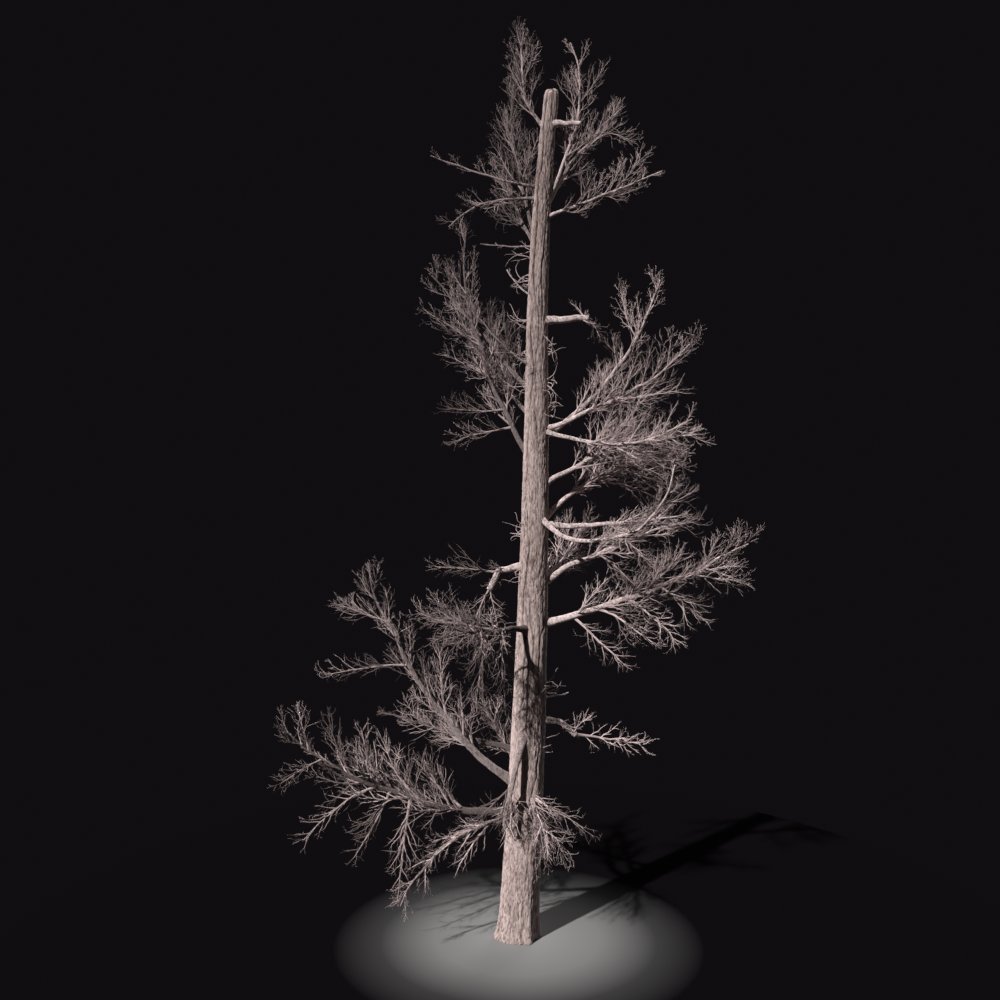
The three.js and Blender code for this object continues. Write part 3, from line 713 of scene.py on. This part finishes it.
# ---------------------------------------------------------------- twigs
BOX_LOW = np.array(CAD_BOX[0]) * 1000
BOX_HIGH = np.array(CAD_BOX[1]) * 1000
BOX_ROOM = 0.02 * (BOX_HIGH - BOX_LOW)
TRUNK_CLEAR = FOOT_RADIUS + TRUNK_ROOM / 2

ARM_POINTS = 9
ARM_FINE_POINTS = 33
TWIG_POINTS = 6
TWIG_DRIFT = 0.024
# The two finest layers of twigs, each on the layer before it.
THIRD = dict(spacing=115, least=2, share_of=0.74, curl=0.7, points=4, taper=0.72)
FOURTH = dict(spacing=120, least=1, share_of=0.6, curl=0.5, points=2, taper=0.55)
FINE_FIRST = 0.12
FINE_LAST = 0.97
FINE_FORK = 30
FINE_LIFT = 0.15
FINE_CROOK = 0.18
THINNEST_ARM = 2.2
THINNEST_TWIG = 2.0

# The number of corners in a spray, which has one tone.
SPRAY = 400
# Regions with more dark sprays than pale ones, as painted shade on the crown's left and lower parts: the
# lower the number, the darker.
REGION_PAINTED_SHADE = {"crown_left": 0.5, "middle_left": 0.5, "low_left": 0.55, "low_front": 0.62}
# How far apart the finest twigs stand in a region, where they are sparser than elsewhere.
REGION_GAP = {"crown_left": 1.15, "crown_right": 1.2, "middle_left": 1.1, "middle_right": 1.35,
              "middle_back": 1.5, "low_left": 1.2, "low_front": 1.75}


def in_reach(paths):
    """Which paths (N, K, 3) stay clear of the trunk and the ground, and within the tree's reach."""
    axis = trunk_axis(np.clip(paths[..., 2], 0, TRUNK_HEIGHT))
    off = np.linalg.norm(paths - axis, axis=-1)
    clear = (off > TRUNK_CLEAR - TAPER * axis[..., 2]) & (paths[..., 2] > GROUND_ROOM)
    inside = (paths > BOX_LOW - BOX_ROOM).all(-1) & (paths < BOX_HIGH + BOX_ROOM).all(-1)
    return (clear[:, 1:] & inside[:, 1:]).all(1)


def sprouts(random, parents, lengths, radii, kind, gap):
    """Side twigs of many paths at once, by the same rule: their paths, lengths and radii."""
    count = kind["least"] + (lengths / (kind["spacing"] * gap)).astype(int)
    owner = np.repeat(np.arange(len(parents)), count)
    number = len(owner)
    order = np.arange(number) - np.repeat(np.cumsum(count) - count, count)
    place = order + 0.15 + 0.7 * random.random(number)
    share = FINE_FIRST + (FINE_LAST - FINE_FIRST) * place / count[owner]
    spot = share * (parents.shape[1] - 1)
    i = np.minimum(spot.astype(int), parents.shape[1] - 2)
    a, b = parents[owner, i], parents[owner, i + 1]
    root = a + (b - a) * (spot - i)[:, None]
    heading = normal(b - a)
    up = np.where(np.abs(heading[:, 2:]) < 0.9, [[0.0, 0, 1]], [[1.0, 0, 0]])
    side = normal(np.cross(heading, up))
    rise = np.cross(side, heading)
    loose = 50 * random.random(number)
    roll = np.radians(GOLDEN_ANGLE * order + loose + 360 * random.random(len(parents))[owner])
    fork = np.radians(FINE_FORK + 24 * (random.random(number) - 0.5))
    away = side * np.cos(roll)[:, None] + rise * np.sin(roll)[:, None]
    heading = heading * np.cos(fork)[:, None] + away * np.sin(fork)[:, None]
    shorter = 1 - kind["taper"] * share
    length = lengths[owner] * kind["share_of"] * shorter * (0.5 + random.random(number))
    bend = normal(random.normal(size=(number, 3))) * kind["curl"] + np.array([0, 0, FINE_LIFT])
    steps = kind["points"] - 1
    paths = [root]
    for _ in range(steps):
        heading = normal(heading + bend / steps + random.normal(size=(number, 3)) * FINE_CROOK)
        paths.append(paths[-1] + heading * (length / steps)[:, None])
    paths = np.stack(paths, axis=1)
    radius = np.minimum(radii[owner] * (1 - 0.5 * share) * 0.66, 2.8 + 0.013 * length)
    keep = in_reach(paths)
    return paths[keep], length[keep], radius[keep]


def twig_tubes(paths, radii, sides, least, swell=0.0):
    """Tubes that taper to a point, and swell at their roots where they leave their parents."""
    share = np.linspace(0, 1, paths.shape[1])[None]
    taper = radii[:, None] * (1 - 0.72 * share) + swell * np.exp(-share * 14) * radii[:, None]
    return pointed_tubes(paths, np.maximum(taper, least), sides)


def brush_of(branch):
    """Short arms between a bough's own, so that its middle isn't bare."""
    first = max(BRUSH_FIRST, branch["bare"])
    count = int(branch["arms"] * BRUSH_SHARE)
    reach = branch["reach"] * BRUSH_REACH
    seed = child_seed(branch["seed"], BRUSH_SEED)
    return side_twigs(branch["spine"], first, count, reach, ARM, seed, branch["hang"])


def twigs_of(branch, arm, radius):
    """An arm's twigs by the rule, moved from its straight pieces to its smooth curve."""
    curve = smooth_path(arm["points"][None], ARM_FINE_POINTS)[0]
    count = TWIGS_AT_LEAST + int(arm["length"] / TWIG_SPACING)
    reach = min(arm["length"] * TWIG_SHARE, TWIG_REACH)
    hang = branch["hang"] * TWIG_HANG
    for twig in side_twigs(arm["points"], TWIG["first"], count, reach, TWIG, arm["seed"], hang):
        root = curve[int(round(twig["share"] * (ARM_FINE_POINTS - 1)))]
        girth = min(radius * (1 - 0.6 * twig["share"]) * 0.6, 4.2 + 0.013 * twig["length"])
        yield twig["points"] + (root - twig["points"][0]), twig["length"], girth


def arms_and_twigs(branches):
    """Paths, lengths and radii of the arms that stay in reach, and of the twigs on them."""
    arms, twigs = [], []
    for branch in branches:
        for arm in branch["all_arms"] + brush_of(branch):
            path = smooth_path(arm["points"][None], ARM_POINTS)
            if not in_reach(path[:, 3:])[0]:
                continue
            radius = min(ARM_GIRTH * bough_radius(branch, arm["share"]), 8 + 0.012 * arm["length"])
            arms.append((path[0], arm["length"], radius))
            twigs += twigs_of(branch, arm, radius)
    return [np.array(part) for part in zip(*arms)], [np.array(part) for part in zip(*twigs)]


def crooked(random, paths, lengths):
    """Smooth twigs with a little drift at every point but the root."""
    paths = smooth_path(paths, TWIG_POINTS)
    drift = random.normal(size=paths.shape) * (lengths * TWIG_DRIFT)[:, None, None]
    drift[:, 0] = 0
    return paths + drift


def build_twigs(branches, region):
    """All the twigs of a region's boughs, from their arms to the finest, joined into one mesh."""
    random = np.random.default_rng(sum(branch["seed"] for branch in branches))
    (arm_paths, _, arm_radii), (paths, lengths, radii) = arms_and_twigs(branches)
    paths = crooked(random, paths, lengths)
    keep = in_reach(paths)
    paths, lengths, radii = paths[keep], lengths[keep], radii[keep]
    gap = REGION_GAP.get(region, 1.0)
    third = sprouts(random, paths, lengths, radii, THIRD, gap)
    fourth = sprouts(random, *third, FOURTH, gap)
    layers = [twig_tubes(arm_paths, arm_radii, 6, THINNEST_ARM, 0.5),
              twig_tubes(paths, radii, 4, THINNEST_ARM, 0.4),
              twig_tubes(third[0], third[2], 3, THINNEST_TWIG),
              twig_tubes(fourth[0], fourth[2], 3, THINNEST_TWIG)]
    vertices, quads, tris = [], [], []
    count = 0
    for points, four_sided, three_sided in layers:
        vertices.append(points)
        quads.append(four_sided + count)
        tris.append(three_sided + count)
        count += len(points)
    quads, tris = np.concatenate(quads), np.concatenate(tris)
    spray = np.concatenate([quads[:, 0], tris[:, 0]]) // SPRAY
    chance = hashed(np.stack([spray, spray * 0, spray * 0], axis=-1), 3)
    # Painted shade: in a shaded region the sprays take the dark tones more often.
    tones = (chance ** REGION_PAINTED_SHADE.get(region, 1.0) * (len(TONES) - 0.001)).astype(int)
    made = mesh_object(region + "_twigs", np.concatenate(vertices), [quads, tris], tones)
    for material in TONES:
        made.data.materials.append(material)
    return made


# ---------------------------------------------------------------- sprigs
# Thin curling twigs straight from the trunk's bark: height, bearing, number, length.
SPRIGS = [(10250, -15, 8, 560), (9650, -20, 10, 620), (9250, -8, 7, 480), (4350, -12, 8, 420),
          (6300, 195, 7, 380), (11350, 190, 6, 420), (11900, 186, 5, 700), (11600, 184, 4, 620),
          (7100, 188, 7, 420), (3350, -14, 5, 300), (10700, 188, 7, 560), (10150, 186, 8, 640),
          (9600, 190, 7, 560)]
SPRIG_SEED = 77
SPRIG_STEPS = 10
SPRIG_CROOK = 0.16
SPRIG_SPREAD = 260
SPRIG_FAN = 40
SPRIG_SUNK = 25


def sprig_path(random, height, bearing, reach):
    """A twig that leaves the trunk near a height and bearing, and curls."""
    z = height + SPRIG_SPREAD * (random.random() - 0.5)
    angle = math.radians(bearing + SPRIG_FAN * (random.random() - 0.5))
    out = np.array([math.cos(angle), math.sin(angle), 0.0])
    heading = normal(out + np.array([0, 0, 0.9 * (random.random() - 0.35)]))
    twist = normal(random.normal(size=3)) * (0.1 + 0.5 * random.random() ** 2)
    length = reach * (0.5 + 0.7 * random.random())
    path = [trunk_axis(z) + out * (flared_radius(z, angle) - SPRIG_SUNK)]
    for _ in range(SPRIG_STEPS):
        heading = normal(heading + np.cross(twist, heading) + SPRIG_CROOK * random.normal(size=3))
        path.append(path[-1] + heading * length / SPRIG_STEPS)
    return path


def build_sprigs():
    random = np.random.default_rng(SPRIG_SEED)
    paths, radii = [], []
    for height, bearing, number, reach in SPRIGS:
        for _ in range(number):
            paths.append(sprig_path(random, height, bearing, reach))
            radii.append(4.5 + 3 * random.random())
    points, quads, tris = twig_tubes(np.array(paths), np.array(radii), 5, THINNEST_ARM)
    made = mesh_object("trunk_sprigs", points, [quads, tris])
    made.data.materials.append(TONES[0])
    return made


# ---------------------------------------------------------------- put together
def dress(piece, nodes):
    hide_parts(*nodes)
    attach(piece, "root")


dress(build_trunk(), ["trunk"])
limbs = [branch for branch in BOUGHS if branch["bare"] >= LIMB_BARE]
others = [branch for branch in BOUGHS if branch["bare"] < LIMB_BARE]
dress(build_boughs(limbs, "boughs"), [branch["name"] + "_limb" for branch in limbs])
dress(build_boughs(others, "thin_boughs"), [branch["name"] + "_twigs" for branch in others])
for region, starts in REGIONS.items():
    branches = [branch for branch in BOUGHS if branch["name"].startswith(starts)]
    masses = [branch["name"] + "_twigs" for branch in branches if branch["arms"]]
    dress(build_twigs(branches, region), masses)

sprigs = build_sprigs()
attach(sprigs, "root")

# ---------------------------------------------------------------- floor, light and camera, in metres
FLOOR_RADIUS = 9.0
FLOOR_DROP = 0.002
FLOOR_SIDES = 96
FLOOR_FADE = 3.2
# A painted pool of light on the floor: pale round the trunk's foot, fading to the backdrop's dark further
# out.
FLOOR_PAINTED_POOL = [(0.0, (0.24, 0.236, 0.234, 1)), (0.45, (0.16, 0.157, 0.156, 1)),
                 (0.75, (0.035, 0.034, 0.035, 1)), (1.0, (0.0038, 0.0031, 0.0038, 1))]
BACKDROP = (0.0055, 0.0045, 0.0055, 1)
ROOM_LIGHT = (0.014, 0.013, 0.015, 1)
CAMERA_PLACE = (-0.316, -17.0, 7.63)
FOCAL_PIXELS = 970
PHOTO_PIXELS = 1000
SENSOR = 36


def floor_material():
    """A painted pool of light: pale round the trunk's foot, and as dark as the backdrop further out."""
    material, nodes, links, principled = shader("pale_floor", 0.95)
    place = nodes.new("ShaderNodeTexCoord")
    distance = nodes.new("ShaderNodeVectorMath")
    distance.operation = "LENGTH"
    links.new(place.outputs["Object"], distance.inputs[0])
    share = nodes.new("ShaderNodeMapRange")
    share.inputs["From Max"].default_value = FLOOR_FADE
    links.new(distance.outputs["Value"], share.inputs["Value"])
    links.new(ramp(nodes, links, share.outputs["Result"], FLOOR_PAINTED_POOL), principled.inputs["Base Color"])
    principled.inputs["Specular IOR Level"].default_value = 0.0
    principled.inputs["Diffuse Roughness"].default_value = 0.0
    return material


def build_floor():
    mesh = bpy.data.meshes.new("floor")
    rim = [(FLOOR_RADIUS * math.cos(turn), FLOOR_RADIUS * math.sin(turn), -FLOOR_DROP)
           for turn in np.linspace(0, 2 * np.pi, FLOOR_SIDES + 1)[:-1]]
    mesh.from_pydata(rim, [], [list(range(FLOOR_SIDES))])
    mesh.materials.append(floor_material())
    floor = bpy.data.objects.new("floor", mesh)
    bpy.context.scene.collection.objects.link(floor)


def build_world():
    """A dark backdrop for the camera, and a faint light from all sides."""
    world = bpy.data.worlds.new("studio")
    world.use_nodes = True
    nodes, links = world.node_tree.nodes, world.node_tree.links
    backdrop = nodes.new("ShaderNodeBackground")
    backdrop.inputs["Color"].default_value = BACKDROP
    seen = nodes.new("ShaderNodeLightPath")
    pick = nodes.new("ShaderNodeMixShader")
    nodes["Background"].inputs["Color"].default_value = ROOM_LIGHT
    links.new(seen.outputs["Is Camera Ray"], pick.inputs[0])
    links.new(nodes["Background"].outputs[0], pick.inputs[1])
    links.new(backdrop.outputs[0], pick.inputs[2])
    links.new(pick.outputs[0], nodes["World Output"].inputs["Surface"])
    bpy.context.scene.world = world


def build_sun(name, energy, spread, toward, colour=(1.0, 1.0, 1.0)):
    light = bpy.data.lights.new(name, "SUN")
    light.energy = energy
    light.angle = math.radians(spread)
    light.color = colour
    sun = bpy.data.objects.new(name, light)
    sun.rotation_euler = Vector(toward).to_track_quat("-Z", "Y").to_euler()
    bpy.context.scene.collection.objects.link(sun)


def build_camera():
    """Level, where the photo was taken from."""
    data = bpy.data.cameras.new("camera")
    data.sensor_width = SENSOR
    data.lens = FOCAL_PIXELS * SENSOR / PHOTO_PIXELS
    camera = bpy.data.objects.new("camera", data)
    camera.location = CAMERA_PLACE
    camera.rotation_euler = (math.radians(90), 0, 0)
    bpy.context.scene.collection.objects.link(camera)
    bpy.context.scene.camera = camera


build_floor()
build_world()
build_sun("key", 6.2, 1.5, (0.53, 0.585, -0.614), (1.0, 0.99, 0.98))
build_sun("fill", 0.1, 60, (-0.75, 0.55, -0.35))
build_sun("back", 2.8, 30, (-0.375, -0.927, -0.2))
build_camera()
bpy.context.scene.view_settings.view_transform = "Standard"
